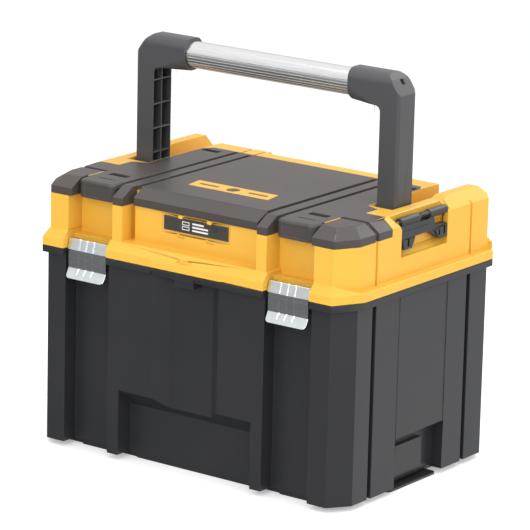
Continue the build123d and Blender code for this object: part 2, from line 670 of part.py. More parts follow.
def arm_front_profile():
    # Leg, outer chamfer and collar seen from the front, with a round inner corner.
    bend = 7.0
    corner = (ARM_IN - bend, 425 - bend)
    arc = []
    for i in range(1, 8):
        a = math.radians(90 - i * 90 / 8)
        arc.append((corner[0] + bend * math.cos(a), corner[1] + bend * math.sin(a)))
    return [
        (ARM_IN, 270), (ARM_OUT, 270), (ARM_OUT, 438.5), (171, 455.8), (163.5, ARM_TOP),
        (COLLAR_END, ARM_TOP), (COLLAR_END, 424.6), (ARM_IN - bend, 425),
    ] + arc + [(ARM_IN, 425 - bend)]


def arm_side_profile():
    width = ARM_BACK - ARM_FRONT
    middle = (ARM_FRONT + ARM_BACK) / 2
    tall = Rectangle(width, ARM_TOP - 262)
    tall = fillet(tall.vertices().sort_by(Axis.Y)[-2:], 12)
    return Pos(middle, (ARM_TOP + 262) / 2) * tall


def collar_section(x, low_radius):
    section = Rectangle(ARM_BACK - ARM_FRONT, ARM_TOP - COLLAR_LOW)
    section = fillet(section.vertices().sort_by(Axis.Y)[-2:], 12)
    section = fillet(section.vertices().sort_by(Axis.Y)[:2], low_radius)
    return Plane.YZ.offset(x) * (Pos((ARM_FRONT + ARM_BACK) / 2, (ARM_TOP + COLLAR_LOW) / 2) * section)


def collar_room():
    # The collar's underside is round at the tube's end and runs out flat at the leg.
    stations = ((COLLAR_END - 1, 16.9), (126, 11.5), (138, 6.5), (COLLAR_ROUND_END, 0.8))
    room = None
    for (x0, r0), (x1, r1) in zip(stations, stations[1:]):
        piece = loft([collar_section(x0, r0).face(), collar_section(x1, r1).face()], ruled=True)
        room = piece if room is None else room + piece
    return room


def handle_arm():
    arm = prism_y(arm_front_profile(), ARM_FRONT, ARM_BACK)
    arm &= extrude(Plane.YZ.offset(100) * arm_side_profile(), 90)
    arm = (arm & block(COLLAR_ROUND_END, 190, -20, 40, 260, 470)) + (arm & collar_room())
    # Chamfered outer edges of the leg
    for y, s in ((ARM_FRONT, 1), (ARM_BACK, -1)):
        edge = [
            (ARM_OUT - 3, y - s), (ARM_OUT + 1, y - s), (ARM_OUT + 1, y + 3 * s),
            (ARM_OUT, y + 3 * s), (ARM_OUT - 3, y),
        ]
        arm -= prism_z(edge, 250, 470)
    # Ribbed hollow on the inner side of the leg
    hollow = block(ARM_IN - 1, ARM_OUT - WALL, ARM_FRONT + 1.8, ARM_BACK - 1.8, 313, 422.5)
    hollow -= block(ARM_IN + 0.4, ARM_OUT, 6.2, 7.8, 300, 430)
    for i in range(4):
        z = RIB_TOP - RIB_STEP * i
        hollow -= block(ARM_IN + 0.4, ARM_OUT, ARM_FRONT, ARM_BACK, z - 0.8, z + 0.8)
    arm -= hollow
    # Round foot that turns in the lid's channel
    foot = rod_x(FOLD_Y, FOLD_Z, 21.6, 150, 190) + block(150, 190, -20, 40, FOLD_Z, 480)
    foot += block(100, 152, -20, 40, 400, 480)
    arm &= foot
    arm -= rod_x(FOLD_Y, FOLD_Z, FOLD_PIN_R + RUNNING, 150, 190)
    # Socket for the tube, its screw hole and the moulding pocket in the chamfer
    arm -= rod_x(TUBE_Y, TUBE_Z, TUBE_BORE_R, COLLAR_END - 2, 158)
    arm -= rod_z(135, TUBE_Y, 3.4, 420, 425.6)
    arm -= rod_z(135, TUBE_Y, 1.5, 420, 440)
    arm -= block(168, 185, 6, 12, 448.6, 454.4)
    return arm


def handle_tube():
    # Flutes on the lower half, smooth on top
    section = Circle(TUBE_R)
    for i in range(8):
        a = math.radians(12 - 13 * i)
        for side in (1, -1):
            section -= Pos(side * TUBE_R * math.cos(a), TUBE_R * math.sin(a)) * Circle(0.9)
    section -= Circle(TUBE_R - 2.4)
    tube = extrude(Plane.YZ.offset(-157) * (Pos(TUBE_Y, TUBE_Z) * section), 314)
    return tube - both(rod_z(135, TUBE_Y, 1.5, 420, 440))


def handle_tube_screws():
    screw = rod_z(135, TUBE_Y, 3.2, 424.7, 425.6) + rod_z(135, TUBE_Y, 1.5, 425, 434)
    return both(screw - block(133, 137, TUBE_Y - 0.4, TUBE_Y + 0.4, 420, 425.1))


def handle_pivot_pins():
    return both(rod_x(FOLD_Y, FOLD_Z, FOLD_PIN_R, 149.5, 190.5))


# Tray

def tray():
    body = block(-TRAY_X, TRAY_X, TRAY_FRONT, TRAY_BACK, TRAY_LOW, TRAY_TOP)
    body = fillet(body.edges().filter_by(Axis.Z), 7)
    spine_y = (TRAY_FRONT + TRAY_BACK) / 2
    wall = 2.4
    front_rows = ((-TRAY_X + wall, -70), (-70 + wall, 70 - wall), (70, TRAY_X - wall))
    back_rows = ((-TRAY_X + wall, -1.2), (1.2, TRAY_X - wall))
    for x0, x1 in front_rows:
        body -= block(x0, x1, TRAY_FRONT + wall, spine_y - 8, TRAY_LOW + wall, TRAY_TOP + 1)
    for x0, x1 in back_rows:
        body -= block(x0, x1, spine_y + 8, TRAY_BACK - wall, TRAY_LOW + wall, TRAY_TOP + 1)
    body -= block(wall - TRAY_X, TRAY_X - wall, spine_y - 5.6, spine_y + 5.6, TRAY_LOW - 1, TRAY_TOP - 8)
    # Carrying arch along the spine
    arch = [(-88, TRAY_TOP - 2), (88, TRAY_TOP - 2), (70, 262), (58, 268), (-58, 268), (-70, 262)]
    arch = prism_y(arch, spine_y - 8, spine_y + 8)
    grip = block(-56, 56, spine_y - 9, spine_y + 9, 224, 253)
    grip = fillet(grip.edges().filter_by(Axis.Y), 9)
    return body + arch - grip


def write(name, shape):
    export_step(shape, f"parts/{name}.step")


write("box_body", box_body())
write("lid_shell", lid_shell())
write("top_cover", top_cover())
write("corner_cap_right", corner_cap())
write("corner_cap_left", flip(corner_cap()))
write("cover_badge", cover_badge())
write("cover_screws", cover_screws())
write("lid_seal", lid_seal())
write("label_window", label_window())
write("label_card", label_card())
write("front_latch_left", Pos(-BAY_X - LATCH_SHIFT, 0, 0) * front_latch())
write("front_latch_right", Pos(BAY_X - LATCH_SHIFT, 0, 0) * front_latch())
write("front_latch_pins", front_latch_pins())
write("side_clip_right", side_clip())
write("side_clip_left", flip(side_clip()))
write("side_clip_pins", side_clip_pins())
write("side_clip_springs", side_clip_springs())
write("lid_hinge_pins", lid_hinge_pins())
write("handle_arm_right", handle_arm())
write("handle_arm_left", flip(handle_arm()))
write("handle_tube", handle_tube())
write("handle_tube_screws", handle_tube_screws())
write("handle_pivot_pins", handle_pivot_pins())
write("tray", tray())
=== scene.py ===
import json
import math
import bpy
import bmesh
from mathutils import Matrix, Vector


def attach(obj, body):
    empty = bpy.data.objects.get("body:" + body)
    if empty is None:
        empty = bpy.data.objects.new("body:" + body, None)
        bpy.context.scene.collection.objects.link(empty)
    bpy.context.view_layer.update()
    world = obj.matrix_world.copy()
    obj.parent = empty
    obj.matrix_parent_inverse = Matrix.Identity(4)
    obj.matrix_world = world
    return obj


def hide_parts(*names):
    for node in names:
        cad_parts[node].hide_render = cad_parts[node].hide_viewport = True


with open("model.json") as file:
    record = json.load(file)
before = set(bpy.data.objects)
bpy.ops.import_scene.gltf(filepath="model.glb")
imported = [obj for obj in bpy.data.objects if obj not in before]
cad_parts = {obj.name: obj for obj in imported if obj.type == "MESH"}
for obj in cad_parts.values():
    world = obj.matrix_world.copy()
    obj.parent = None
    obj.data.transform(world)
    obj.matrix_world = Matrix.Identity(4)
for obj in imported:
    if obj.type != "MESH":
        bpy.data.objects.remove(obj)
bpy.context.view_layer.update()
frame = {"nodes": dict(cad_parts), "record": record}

# Deep stackable tool box: black base, yellow lid with a dark cover, zinc latches,
# side clips, fold-down carry handle and a lift-out tray. Metres throughout.

mm = 0.001
print("frame loaded:", len(frame["nodes"]), "nodes")


# Camera

cameraSetup = {
    "azimuth": 36.165,       # degrees, 0 looks along +Y
    "elevation": 14.664,
    "roll": 1.399,
    "distance": 4.010,
    "lens": 240.0,
    "sensor": 36.0,
    "lookAt": (0.0, 0.0, 0.2162),
}


def addCamera(setup):
    az = math.radians(setup["azimuth"])
    el = math.radians(setup["elevation"])
    roll = math.radians(setup["roll"])
    back = Vector((math.sin(az) * math.cos(el), -math.cos(az) * math.cos(el), math.sin(el)))
    right = Vector((0, 0, 1)).cross(back).normalized()
    up = back.cross(right)
    side = right * math.cos(roll) + up * math.sin(roll)
    top = up * math.cos(roll) - right * math.sin(roll)
    place = Vector(setup["lookAt"]) + back * setup["distance"]
    data = bpy.data.cameras.new("camera")
    data.lens = setup["lens"]
    data.sensor_width = setup["sensor"]
    data.clip_end = 100
    data.dof.use_dof = False
    cam = bpy.data.objects.new("camera", data)
    turn = Matrix((side, top, back)).transposed().to_4x4()
    cam.matrix_world = Matrix.Translation(place) @ turn
    bpy.context.scene.collection.objects.link(cam)
    bpy.context.scene.camera = cam


addCamera(cameraSetup)
bpy.context.scene.view_settings.view_transform = "Standard"


# Node helpers

def addNode(tree, kind, **settings):
    node = tree.nodes.new(kind)
    for name, value in settings.items():
        setattr(node, name, value)
    return node


def mathNode(tree, operation, a, b=None, c=None, clamp=False):
    node = addNode(tree, "ShaderNodeMath", operation=operation, use_clamp=clamp)
    for slotIndex, value in enumerate((a, b, c)):
        if value is None:
            continue
        if isinstance(value, (int, float)):
            node.inputs[slotIndex].default_value = value
        else:
            tree.links.new(value, node.inputs[slotIndex])
    return node.outputs[0]


def mixColour(tree, factor, a, b, blend="MIX"):
    node = addNode(tree, "ShaderNodeMix", data_type="RGBA", blend_type=blend)
    for socket, value in ((node.inputs["Factor"], factor), (node.inputs[6], a), (node.inputs[7], b)):
        if isinstance(value, (int, float)):
            socket.default_value = value
        elif isinstance(value, (tuple, list)):
            socket.default_value = (*value[:3], 1)
        else:
            tree.links.new(value, socket)
    return node.outputs[2]


def rampNode(tree, value, stops):
    node = addNode(tree, "ShaderNodeValToRGB")
    ramp = node.color_ramp
    while len(ramp.elements) < len(stops):
        ramp.elements.new(0.5)
    for element, (place, shade) in zip(ramp.elements, stops):
        element.position = place
        element.color = (shade, shade, shade, 1)
    tree.links.new(value, node.inputs[0])
    return node.outputs[0]


def newGroup(name, inputs, outputs):
    group = bpy.data.node_groups.new(name, "ShaderNodeTree")
    for label, value in inputs:
        socket = group.interface.new_socket(name=label, in_out="INPUT", socket_type="NodeSocketFloat")
        socket.default_value = value
    for label in outputs:
        group.interface.new_socket(name=label, in_out="OUTPUT", socket_type="NodeSocketFloat")
    return group, group.nodes.new("NodeGroupInput"), group.nodes.new("NodeGroupOutput")


def noiseNode(tree, vector, scale, detail=2.0, rough=0.5):
    node = addNode(tree, "ShaderNodeTexNoise")
    tree.links.new(vector, node.inputs["Vector"])
    node.inputs["Detail"].default_value = detail
    node.inputs["Roughness"].default_value = rough
    if isinstance(scale, (int, float)):
        node.inputs["Scale"].default_value = scale
    else:
        tree.links.new(scale, node.inputs["Scale"])
    return node.outputs["Fac"]


# Finish effects that several materials share

def buildMouldGrain():
    # Spark-eroded tool texture: small round pits over a softer unevenness
    group, start, end = newGroup("mouldGrain", [("Grain Scale", 2200.0), ("Pit Share", 0.6)],
                                 ["Height", "Speckle"])
    place = addNode(group, "ShaderNodeTexCoord").outputs["Object"]
    pits = addNode(group, "ShaderNodeTexVoronoi")
    group.links.new(place, pits.inputs["Vector"])
    group.links.new(start.outputs["Grain Scale"], pits.inputs["Scale"])
    soft = noiseNode(group, place, start.outputs["Grain Scale"], 3.0, 0.6)
    pitPart = mathNode(group, "MULTIPLY", pits.outputs["Distance"], start.outputs["Pit Share"])
    group.links.new(mathNode(group, "ADD", pitPart, soft), end.inputs["Height"])
    group.links.new(soft, end.inputs["Speckle"])
    return group


def buildEdgeRub():
    # Mask of rubbed corners: where a rounded normal leaves the true one
    group, start, end = newGroup("edgeRub", [("Width", 0.0012), ("Strength", 3.0), ("Patchiness", 90.0)],
                                 ["Mask"])
    rounded = addNode(group, "ShaderNodeBevel", samples=4)
    group.links.new(start.outputs["Width"], rounded.inputs["Radius"])
    flat = addNode(group, "ShaderNodeNewGeometry")
    dot = addNode(group, "ShaderNodeVectorMath", operation="DOT_PRODUCT")
    group.links.new(rounded.outputs[0], dot.inputs[0])
    group.links.new(flat.outputs["Normal"], dot.inputs[1])
    away = mathNode(group, "SUBTRACT", 1.0, dot.outputs["Value"])
    strong = mathNode(group, "MULTIPLY", away, start.outputs["Strength"])
    place = addNode(group, "ShaderNodeTexCoord").outputs["Object"]
    patches = noiseNode(group, place, start.outputs["Patchiness"], 4.0, 0.65)
    broken = rampNode(group, patches, [(0.38, 0.0), (0.62, 1.0)])
    group.links.new(mathNode(group, "MULTIPLY", strong, broken, clamp=True), end.inputs["Mask"])
    return group


def buildHairScratches():
    # Fine straight handling scratches in two directions
    group, start, end = newGroup("hairScratches", [("Scale", 60.0), ("Amount", 0.5)], ["Mask"])
    place = addNode(group, "ShaderNodeTexCoord").outputs["Object"]
    lines = []
    for turn, squeeze in ((0.5, (1, 1, 30)), (-0.9, (26, 1, 1))):
        mapping = addNode(group, "ShaderNodeMapping")
        mapping.inputs["Rotation"].default_value = (turn, turn * 0.7, turn * 1.3)
        mapping.inputs["Scale"].default_value = squeeze
        group.links.new(place, mapping.inputs["Vector"])
        field = noiseNode(group, mapping.outputs[0], start.outputs["Scale"], 2.0, 0.5)
        lines.append(rampNode(group, field, [(0.66, 0.0), (0.70, 1.0)]))
    both = mathNode(group, "MAXIMUM", lines[0], lines[1])
    group.links.new(mathNode(group, "MULTIPLY", both, start.outputs["Amount"]), end.inputs["Mask"])
    return group


def buildDustFilm():
    # Thin dust that settles on upward faces and in broad patches
    group, start, end = newGroup("dustFilm", [("Patch Scale", 9.0), ("Amount", 0.4)], ["Mask"])
    coords = addNode(group, "ShaderNodeTexCoord")
    upward = addNode(group, "ShaderNodeSeparateXYZ")
    group.links.new(coords.outputs["Normal"], upward.inputs[0])
    facing = mathNode(group, "MULTIPLY_ADD", upward.outputs["Z"], 0.5, 0.5)
    patches = noiseNode(group, coords.outputs["Object"], start.outputs["Patch Scale"], 5.0, 0.6)
    cloud = rampNode(group, patches, [(0.35, 0.0), (0.75, 1.0)])
    film = mathNode(group, "MULTIPLY", cloud, facing)
    group.links.new(mathNode(group, "MULTIPLY", film, start.outputs["Amount"]), end.inputs["Mask"])
    return group


def buildRolledLines():
    # Fine lines left by drawing or rolling, long along X
    group, start, end = newGroup("rolledLines", [("Scale", 900.0)], ["Height", "Mask"])
    place = addNode(group, "ShaderNodeTexCoord").outputs["Object"]
    mapping = addNode(group, "ShaderNodeMapping")
    mapping.inputs["Scale"].default_value = (0.02, 1, 1)
    group.links.new(place, mapping.inputs["Vector"])
    field = noiseNode(group, mapping.outputs[0], start.outputs["Scale"], 3.0, 0.6)
    group.links.new(field, end.inputs["Height"])
    group.links.new(rampNode(group, field, [(0.4, 0.0), (0.7, 1.0)]), end.inputs["Mask"])
    return group


mouldGrain = buildMouldGrain()
edgeRub = buildEdgeRub()
hairScratches = buildHairScratches()
dustFilm = buildDustFilm()
rolledLines = buildRolledLines()


def useGroup(tree, group, **values):
    node = addNode(tree, "ShaderNodeGroup", node_tree=group)
    for name, value in values.items():
        node.inputs[name.replace("_", " ")].default_value = value
    return node


def newMaterial(name):
    material = bpy.data.materials.new(name)
    material.use_nodes = True
    tree = material.node_tree
    tree.nodes.clear()
    out = addNode(tree, "ShaderNodeOutputMaterial")
    shader = addNode(tree, "ShaderNodeBsdfPrincipled")
    tree.links.new(shader.outputs[0], out.inputs["Surface"])
    return material, tree, shader


def setRoughness(tree, shader, mask, spread, least):
    # Roughness rises from least as the mask grows
    tree.links.new(mathNode(tree, "MULTIPLY_ADD", mask, spread, least), shader.inputs["Roughness"])


def setBump(tree, shader, height, strength, depth):
    bump = addNode(tree, "ShaderNodeBump")
    bump.inputs["Strength"].default_value = strength
    bump.inputs["Distance"].default_value = depth
    tree.links.new(height, bump.inputs["Height"])
    tree.links.new(bump.outputs[0], shader.inputs["Normal"])


# Moulded plastics

charcoalPlastic = {
    "colour": (0.022, 0.023, 0.026), "worn": (0.07, 0.07, 0.075), "dust": (0.10, 0.09, 0.085),
    "rough": 0.34, "roughSpread": 0.14, "specular": 0.62,
    "grainScale": 1500.0, "grainBump": 0.10, "rub": 2.2, "dustAmount": 0.10, "scratches": 0.25,
}
# Same black plastic as the base; the arms' colour is lightened as painted light, for the brighter light
# their faces catch
armPlasticPaintedLight = {
    "colour": (0.068, 0.069, 0.073), "worn": (0.12, 0.12, 0.125), "dust": (0.13, 0.125, 0.12),
    "rough": 0.40, "roughSpread": 0.14, "specular": 0.5,
    "grainScale": 1500.0, "grainBump": 0.10, "rub": 2.2, "dustAmount": 0.10, "scratches": 0.25,
}
coverPlastic = {
    "colour": (0.062, 0.053, 0.050), "worn": (0.16, 0.15, 0.145), "dust": (0.17, 0.145, 0.13),
    "rough": 0.42, "roughSpread": 0.12, "specular": 0.5,
    "grainScale": 1100.0, "grainBump": 0.16, "rub": 2.2, "dustAmount": 0.14, "scratches": 0.25,
}
yellowPlastic = {
    "colour": (0.82, 0.452, 0.050), "worn": (0.94, 0.58, 0.13), "dust": (0.82, 0.55, 0.20),
    "rough": 0.38, "roughSpread": 0.12, "specular": 0.36,
    "grainScale": 1500.0, "grainBump": 0.07, "rub": 1.4, "dustAmount": 0.10, "scratches": 0.18,
}
trayPlastic = {
    "colour": (0.022, 0.023, 0.025), "worn": (0.07, 0.07, 0.072), "dust": (0.10, 0.09, 0.08),
    "rough": 0.48, "roughSpread": 0.16, "specular": 0.45,
    "grainScale": 900.0, "grainBump": 0.16, "rub": 2.0, "dustAmount": 0.2, "scratches": 0.4,
}
mouldingLook = {
    # the same on every moulding
    "pitShare": 0.5, "rubWidth": 0.0013, "rubPatches": 110.0, "scratchScale": 45.0, "scratchRough": 0.12,
    "dustPatches": 8.0, "dustRough": 0.5, "flowScale": 14.0, "flowShade": 0.88, "grainDepth": 0.00025,
}


def mouldedPlastic(name, look):
    shared = mouldingLook
    material, tree, shader = newMaterial(name)
    grain = useGroup(tree, mouldGrain, Grain_Scale=look["grainScale"], Pit_Share=shared["pitShare"])
    rub = useGroup(tree, edgeRub, Width=shared["rubWidth"], Strength=look["rub"],
                   Patchiness=shared["rubPatches"])
    marks = useGroup(tree, hairScratches, Scale=shared["scratchScale"], Amount=look["scratches"])
    film = useGroup(tree, dustFilm, Patch_Scale=shared["dustPatches"], Amount=look["dustAmount"])
    place = addNode(tree, "ShaderNodeTexCoord").outputs["Object"]
    flow = noiseNode(tree, place, shared["flowScale"], 3.0, 0.55)
    darker = tuple(c * shared["flowShade"] for c in look["colour"])
    body = mixColour(tree, flow, darker, look["colour"])
    body = mixColour(tree, rub.outputs["Mask"], body, look["worn"])
    body = mixColour(tree, film.outputs["Mask"], body, look["dust"])
    tree.links.new(body, shader.inputs["Base Color"])
    least = look["rough"] - look["roughSpread"] / 2
    grainy = mathNode(tree, "MULTIPLY_ADD", grain.outputs["Speckle"], look["roughSpread"], least)
    scratched = mathNode(tree, "MULTIPLY_ADD", marks.outputs["Mask"], shared["scratchRough"], grainy)
    setRoughness(tree, shader, film.outputs["Mask"], shared["dustRough"], scratched)
    setBump(tree, shader, grain.outputs["Height"], look["grainBump"], shared["grainDepth"])
    shader.inputs["Specular IOR Level"].default_value = look["specular"]
    return material


# Metals

zincLook = {
    "colour": (0.78, 0.82, 0.84), "shade": (0.60, 0.65, 0.68), "mark": (0.9, 0.92, 0.93),
    "spangle": 160.0, "spangleShare": 0.5, "lines": 1100.0, "markScale": 140.0, "markAmount": 0.5,
    "rough": 0.22, "roughSpread": 0.10, "bump": 0.03, "bumpDepth": 0.0002,
}
tubeLook = {"colour": (0.90, 0.90, 0.90), "shade": (0.78, 0.78, 0.78), "rough": 0.24, "lines": 1400.0}
# Spring steel darkened as painted shade, for the dark slot the springs sit in
springShadedLook = {"colour": (0.16, 0.16, 0.165), "shade": (0.07, 0.07, 0.075), "rough": 0.26, "lines": 900.0}
steelLook = {"colour": (0.60, 0.61, 0.62), "shade": (0.38, 0.38, 0.39), "rough": 0.30, "lines": 700.0}
drawnLook = {
    # the same on every drawn or turned metal
    "markScale": 90.0, "markAmount": 0.35, "rubWidth": 0.0008, "rub": 1.5, "rubPatches": 200.0,
    "roughSpread": 0.14, "bump": 0.06, "bumpDepth": 0.0002,
}


def zincPlate(name, look):
    # Bright zinc: faint crystal spangle, rolled lines and small handling marks
    material, tree, shader = newMaterial(name)
    spangle = addNode(tree, "ShaderNodeTexVoronoi")
    tree.links.new(addNode(tree, "ShaderNodeTexCoord").outputs["Object"], spangle.inputs["Vector"])
    spangle.inputs["Scale"].default_value = look["spangle"]
    cells = rampNode(tree, spangle.outputs["Color"], [(0.0, 0.0), (1.0, 1.0)])
    lines = useGroup(tree, rolledLines, Scale=look["lines"])
    marks = useGroup(tree, hairScratches, Scale=look["markScale"], Amount=look["markAmount"])
    tone = mathNode(tree, "MULTIPLY", cells, look["spangleShare"])
    base = mixColour(tree, tone, look["colour"], look["shade"])
    base = mixColour(tree, marks.outputs["Mask"], base, look["mark"])
    tree.links.new(base, shader.inputs["Base Color"])
    setRoughness(tree, shader, lines.outputs["Mask"], look["roughSpread"], look["rough"])
    setBump(tree, shader, lines.outputs["Height"], look["bump"], look["bumpDepth"])
    shader.inputs["Metallic"].default_value = 1.0
    return material


def drawnMetal(name, look):
    # Drawn or turned metal with lines along X, dull in the grooves
    shared = drawnLook
    material, tree, shader = newMaterial(name)
    lines = useGroup(tree, rolledLines, Scale=look["lines"])
    marks = useGroup(tree, hairScratches, Scale=shared["markScale"], Amount=shared["markAmount"])
    rub = useGroup(tree, edgeRub, Width=shared["rubWidth"], Strength=shared["rub"],
                   Patchiness=shared["rubPatches"])
    base = mixColour(tree, lines.outputs["Mask"], look["shade"], look["colour"])
    base = mixColour(tree, marks.outputs["Mask"], base, look["shade"])
    base = mixColour(tree, rub.outputs["Mask"], base, look["colour"])
    tree.links.new(base, shader.inputs["Base Color"])
    least = look["rough"] - shared["roughSpread"] / 2
    setRoughness(tree, shader, lines.outputs["Height"], shared["roughSpread"], least)
    setBump(tree, shader, lines.outputs["Height"], shared["bump"], shared["bumpDepth"])
    shader.inputs["Metallic"].default_value = 1.0
    return material


# Seal, label window, card and print

sealLook = {
    "colour": (0.018, 0.018, 0.018), "dust": (0.07, 0.065, 0.06), "dustPatches": 30.0, "dustAmount": 0.5,
    "grainScale": 2600.0, "pitShare": 0.2, "rough": 0.55, "roughSpread": 0.2,
    "bump": 0.2, "bumpDepth": 0.0002,
}
windowLook = {
    "colour": (0.93, 0.86, 0.76), "dust": (0.75, 0.70, 0.62), "dustPatches": 40.0, "dustAmount": 0.5,
    "markScale": 120.0, "markAmount": 0.5, "rough": 0.09, "roughSpread": 0.25,
    "haze": 0.012, "hazeSpread": 0.04, "ior": 1.49, "specular": 0.25,
}
cardLook = {
    "dark": (0.010, 0.010, 0.011), "light": (0.022, 0.022, 0.023), "fibre": 900.0,
    "rough": 0.45, "roughSpread": 0.2, "bump": 0.25, "bumpDepth": 0.0001,
}
inkLook = {
    "dark": (0.62, 0.62, 0.64), "light": (0.86, 0.86, 0.86), "fibre": 1400.0,
    "rough": 0.5, "roughSpread": 0.2, "bump": 0.2, "bumpDepth": 0.00005,
}


def sealRubber(name, look):
    material, tree, shader = newMaterial(name)
    grain = useGroup(tree, mouldGrain, Grain_Scale=look["grainScale"], Pit_Share=look["pitShare"])
    film = useGroup(tree, dustFilm, Patch_Scale=look["dustPatches"], Amount=look["dustAmount"])
    base = mixColour(tree, film.outputs["Mask"], look["colour"], look["dust"])
    tree.links.new(base, shader.inputs["Base Color"])
    setRoughness(tree, shader, grain.outputs["Speckle"], look["roughSpread"], look["rough"])
    setBump(tree, shader, grain.outputs["Height"], look["bump"], look["bumpDepth"])
    return material


def clearWindow(name, look):
    # Clear moulded sheet with a breath of haze and fine scratches
    material, tree, shader = newMaterial(name)
    marks = useGroup(tree, hairScratches, Scale=look["markScale"], Amount=look["markAmount"])
    film = useGroup(tree, dustFilm, Patch_Scale=look["dustPatches"], Amount=look["dustAmount"])
    base = mixColour(tree, film.outputs["Mask"], look["colour"], look["dust"])
    tree.links.new(base, shader.inputs["Base Color"])
    setRoughness(tree, shader, marks.outputs["Mask"], look["roughSpread"], look["rough"])
    haze = mathNode(tree, "MULTIPLY_ADD", film.outputs["Mask"], look["hazeSpread"], look["haze"])
    tree.links.new(haze, shader.inputs["Alpha"])
    shader.inputs["IOR"].default_value = look["ior"]
    shader.inputs["Specular IOR Level"].default_value = look["specular"]
    return material


def fibrePaper(name, look):
    # Uncoated card, or ink thin enough for the card's fibre to show
    material, tree, shader = newMaterial(name)
    place = addNode(tree, "ShaderNodeTexCoord").outputs["Object"]
    fibre = noiseNode(tree, place, look["fibre"], 4.0, 0.7)
    tree.links.new(mixColour(tree, fibre, look["dark"], look["light"]), shader.inputs["Base Color"])
    setRoughness(tree, shader, fibre, look["roughSpread"], look["rough"])
    setBump(tree, shader, fibre, look["bump"], look["bumpDepth"])
    return material


finishes = {
    "black_plastic": mouldedPlastic("charcoalMoulding", charcoalPlastic),
    # arms: black plastic lightened as painted light
    "arm_plastic": mouldedPlastic("armMoulding", armPlasticPaintedLight),
    "cover_plastic": mouldedPlastic("coverMoulding", coverPlastic),
    "yellow_plastic": mouldedPlastic("yellowMoulding", yellowPlastic),
    "tray_plastic": mouldedPlastic("trayMoulding", trayPlastic),
    "zinc_plate": zincPlate("zincPlate", zincLook),
    "aluminium_tube": drawnMetal("drawnTube", tubeLook),
    "steel": drawnMetal("pinSteel", steelLook),
    # springs: steel darkened as painted shade
    "spring_steel": drawnMetal("springSteel", springShadedLook),
    "seal_rubber": sealRubber("sealRubber", sealLook),
    "clear_plastic": clearWindow("clearWindow", windowLook),
    "card": fibrePaper("printedCard", cardLook),
    "white_ink": fibrePaper("whiteInk", inkLook),
}
print("materials built:", len(finishes))


# Carried-over parts: the shape stays, the sharp edges are rounded as a mould rounds them

slotOf = {part["node"]: part["material_slot"] for part in frame["record"]["subparts"]}
bodyOf = {node: body for body, members in frame["record"]["behaviour"]["bodies"].items()
          for node in members}

roundedParts = {
    # node: (finish, edge radius in mm, least fold angle in degrees)
    "box_body": ("black_plastic", 0.8, 32),
    "lid_shell": ("yellow_plastic", 0.7, 32),
    "top_cover": ("cover_plastic", 0.6, 32),
    "corner_cap_left": ("cover_plastic", 0.7, 20),
    "corner_cap_right": ("cover_plastic", 0.7, 20),
    "handle_arm_left": ("arm_plastic", 0.45, 32),
    "handle_arm_right": ("arm_plastic", 0.45, 32),
    "side_clip_left": ("black_plastic", 0.3, 32),
    "side_clip_right": ("black_plastic", 0.3, 32),
    "tray": ("tray_plastic", 0.6, 32),
}


roundingLook = {"segments": 2, "merge": 0.01, "smooth": 38}  # merge in mm, smooth in degrees


def selectOnly(piece):
    for other in bpy.context.selected_objects:
        other.select_set(False)
    bpy.context.view_layer.objects.active = piece
    piece.select_set(True)


def applyAll(piece):
    selectOnly(piece)
    for modifier in list(piece.modifiers):
        bpy.ops.object.modifier_apply(modifier=modifier.name)


def paint(piece, finish):
    piece.data.materials.clear()
    piece.data.materials.append(finishes[finish])


def pieceName(node):
    words = node.split("_")
    return words[0] + "".join(word.capitalize() for word in words[1:])


def keepWithin(piece, source):
    # A bevel can push a sharp tip out a little, so it is drawn back to the part's own box
    low = [min(vert.co[axis] for vert in source.data.vertices) for axis in range(3)]
    high = [max(vert.co[axis] for vert in source.data.vertices) for axis in range(3)]
    for vert in piece.data.vertices:
        vert.co = [min(max(vert.co[axis], low[axis]), high[axis]) for axis in range(3)]


def smoothPiece(piece, angle):
    selectOnly(piece)
    bpy.ops.object.shade_smooth_by_angle(angle=math.radians(angle))
    level = piece.modifiers.new("level", "WEIGHTED_NORMAL")
    level.keep_sharp = True
    applyAll(piece)


def softenEdges(piece, width, angle, clamp):
    soften = piece.modifiers.new("soften", "BEVEL")
    soften.width = width * mm
    soften.segments = roundingLook["segments"]
    soften.limit_method = "ANGLE"
    soften.angle_limit = math.radians(angle)
    soften.use_clamp_overlap = clamp
    applyAll(piece)


def roundedCopy(node, finish, radius, angle):
    source = frame["nodes"][node]
    piece = bpy.data.objects.new(pieceName(node), source.data.copy())
    bpy.context.scene.collection.objects.link(piece)
    selectOnly(piece)
    bpy.ops.object.mode_set(mode="EDIT")
    bpy.ops.mesh.select_all(action="SELECT")
    bpy.ops.mesh.customdata_custom_splitnormals_clear()
    bpy.ops.mesh.remove_doubles(threshold=roundingLook["merge"] * mm)
    bpy.ops.object.mode_set(mode="OBJECT")
    softenEdges(piece, radius, angle, False)
    keepWithin(piece, source)
    smoothPiece(piece, roundingLook["smooth"])
    paint(piece, finish)
    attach(piece, bodyOf[node])
    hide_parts(node)
    return piece


for node, (finish, radius, angle) in roundedParts.items():
    roundedCopy(node, finish, radius, angle)
print("rounded parts:", len(roundedParts))


# Modelling helpers

def openEdit(piece):
    selectOnly(piece)
    bpy.ops.object.mode_set(mode="EDIT")
    bpy.ops.mesh.select_mode(type="VERT")


def closeEdit():
    bpy.ops.object.mode_set(mode="OBJECT")


def pick(piece, kind, test):
    # Selects just the verts, edges or faces whose middle, in mm, passes the test
    mesh = bmesh.from_edit_mesh(piece.data)
    bpy.ops.mesh.select_mode(type={"verts": "VERT", "edges": "EDGE", "faces": "FACE"}[kind])
    bpy.ops.mesh.select_all(action="DESELECT")
    for part in getattr(mesh, kind):
        corners = [part] if kind == "verts" else part.verts
        middle = sum((corner.co for corner in corners), Vector()) / len(corners) / mm
        if test(middle):
            part.select_set(True)
    mesh.select_flush_mode()
    bmesh.update_edit_mesh(piece.data)


def shift(x, y, z):
    bpy.ops.transform.translate(value=(x * mm, y * mm, z * mm))


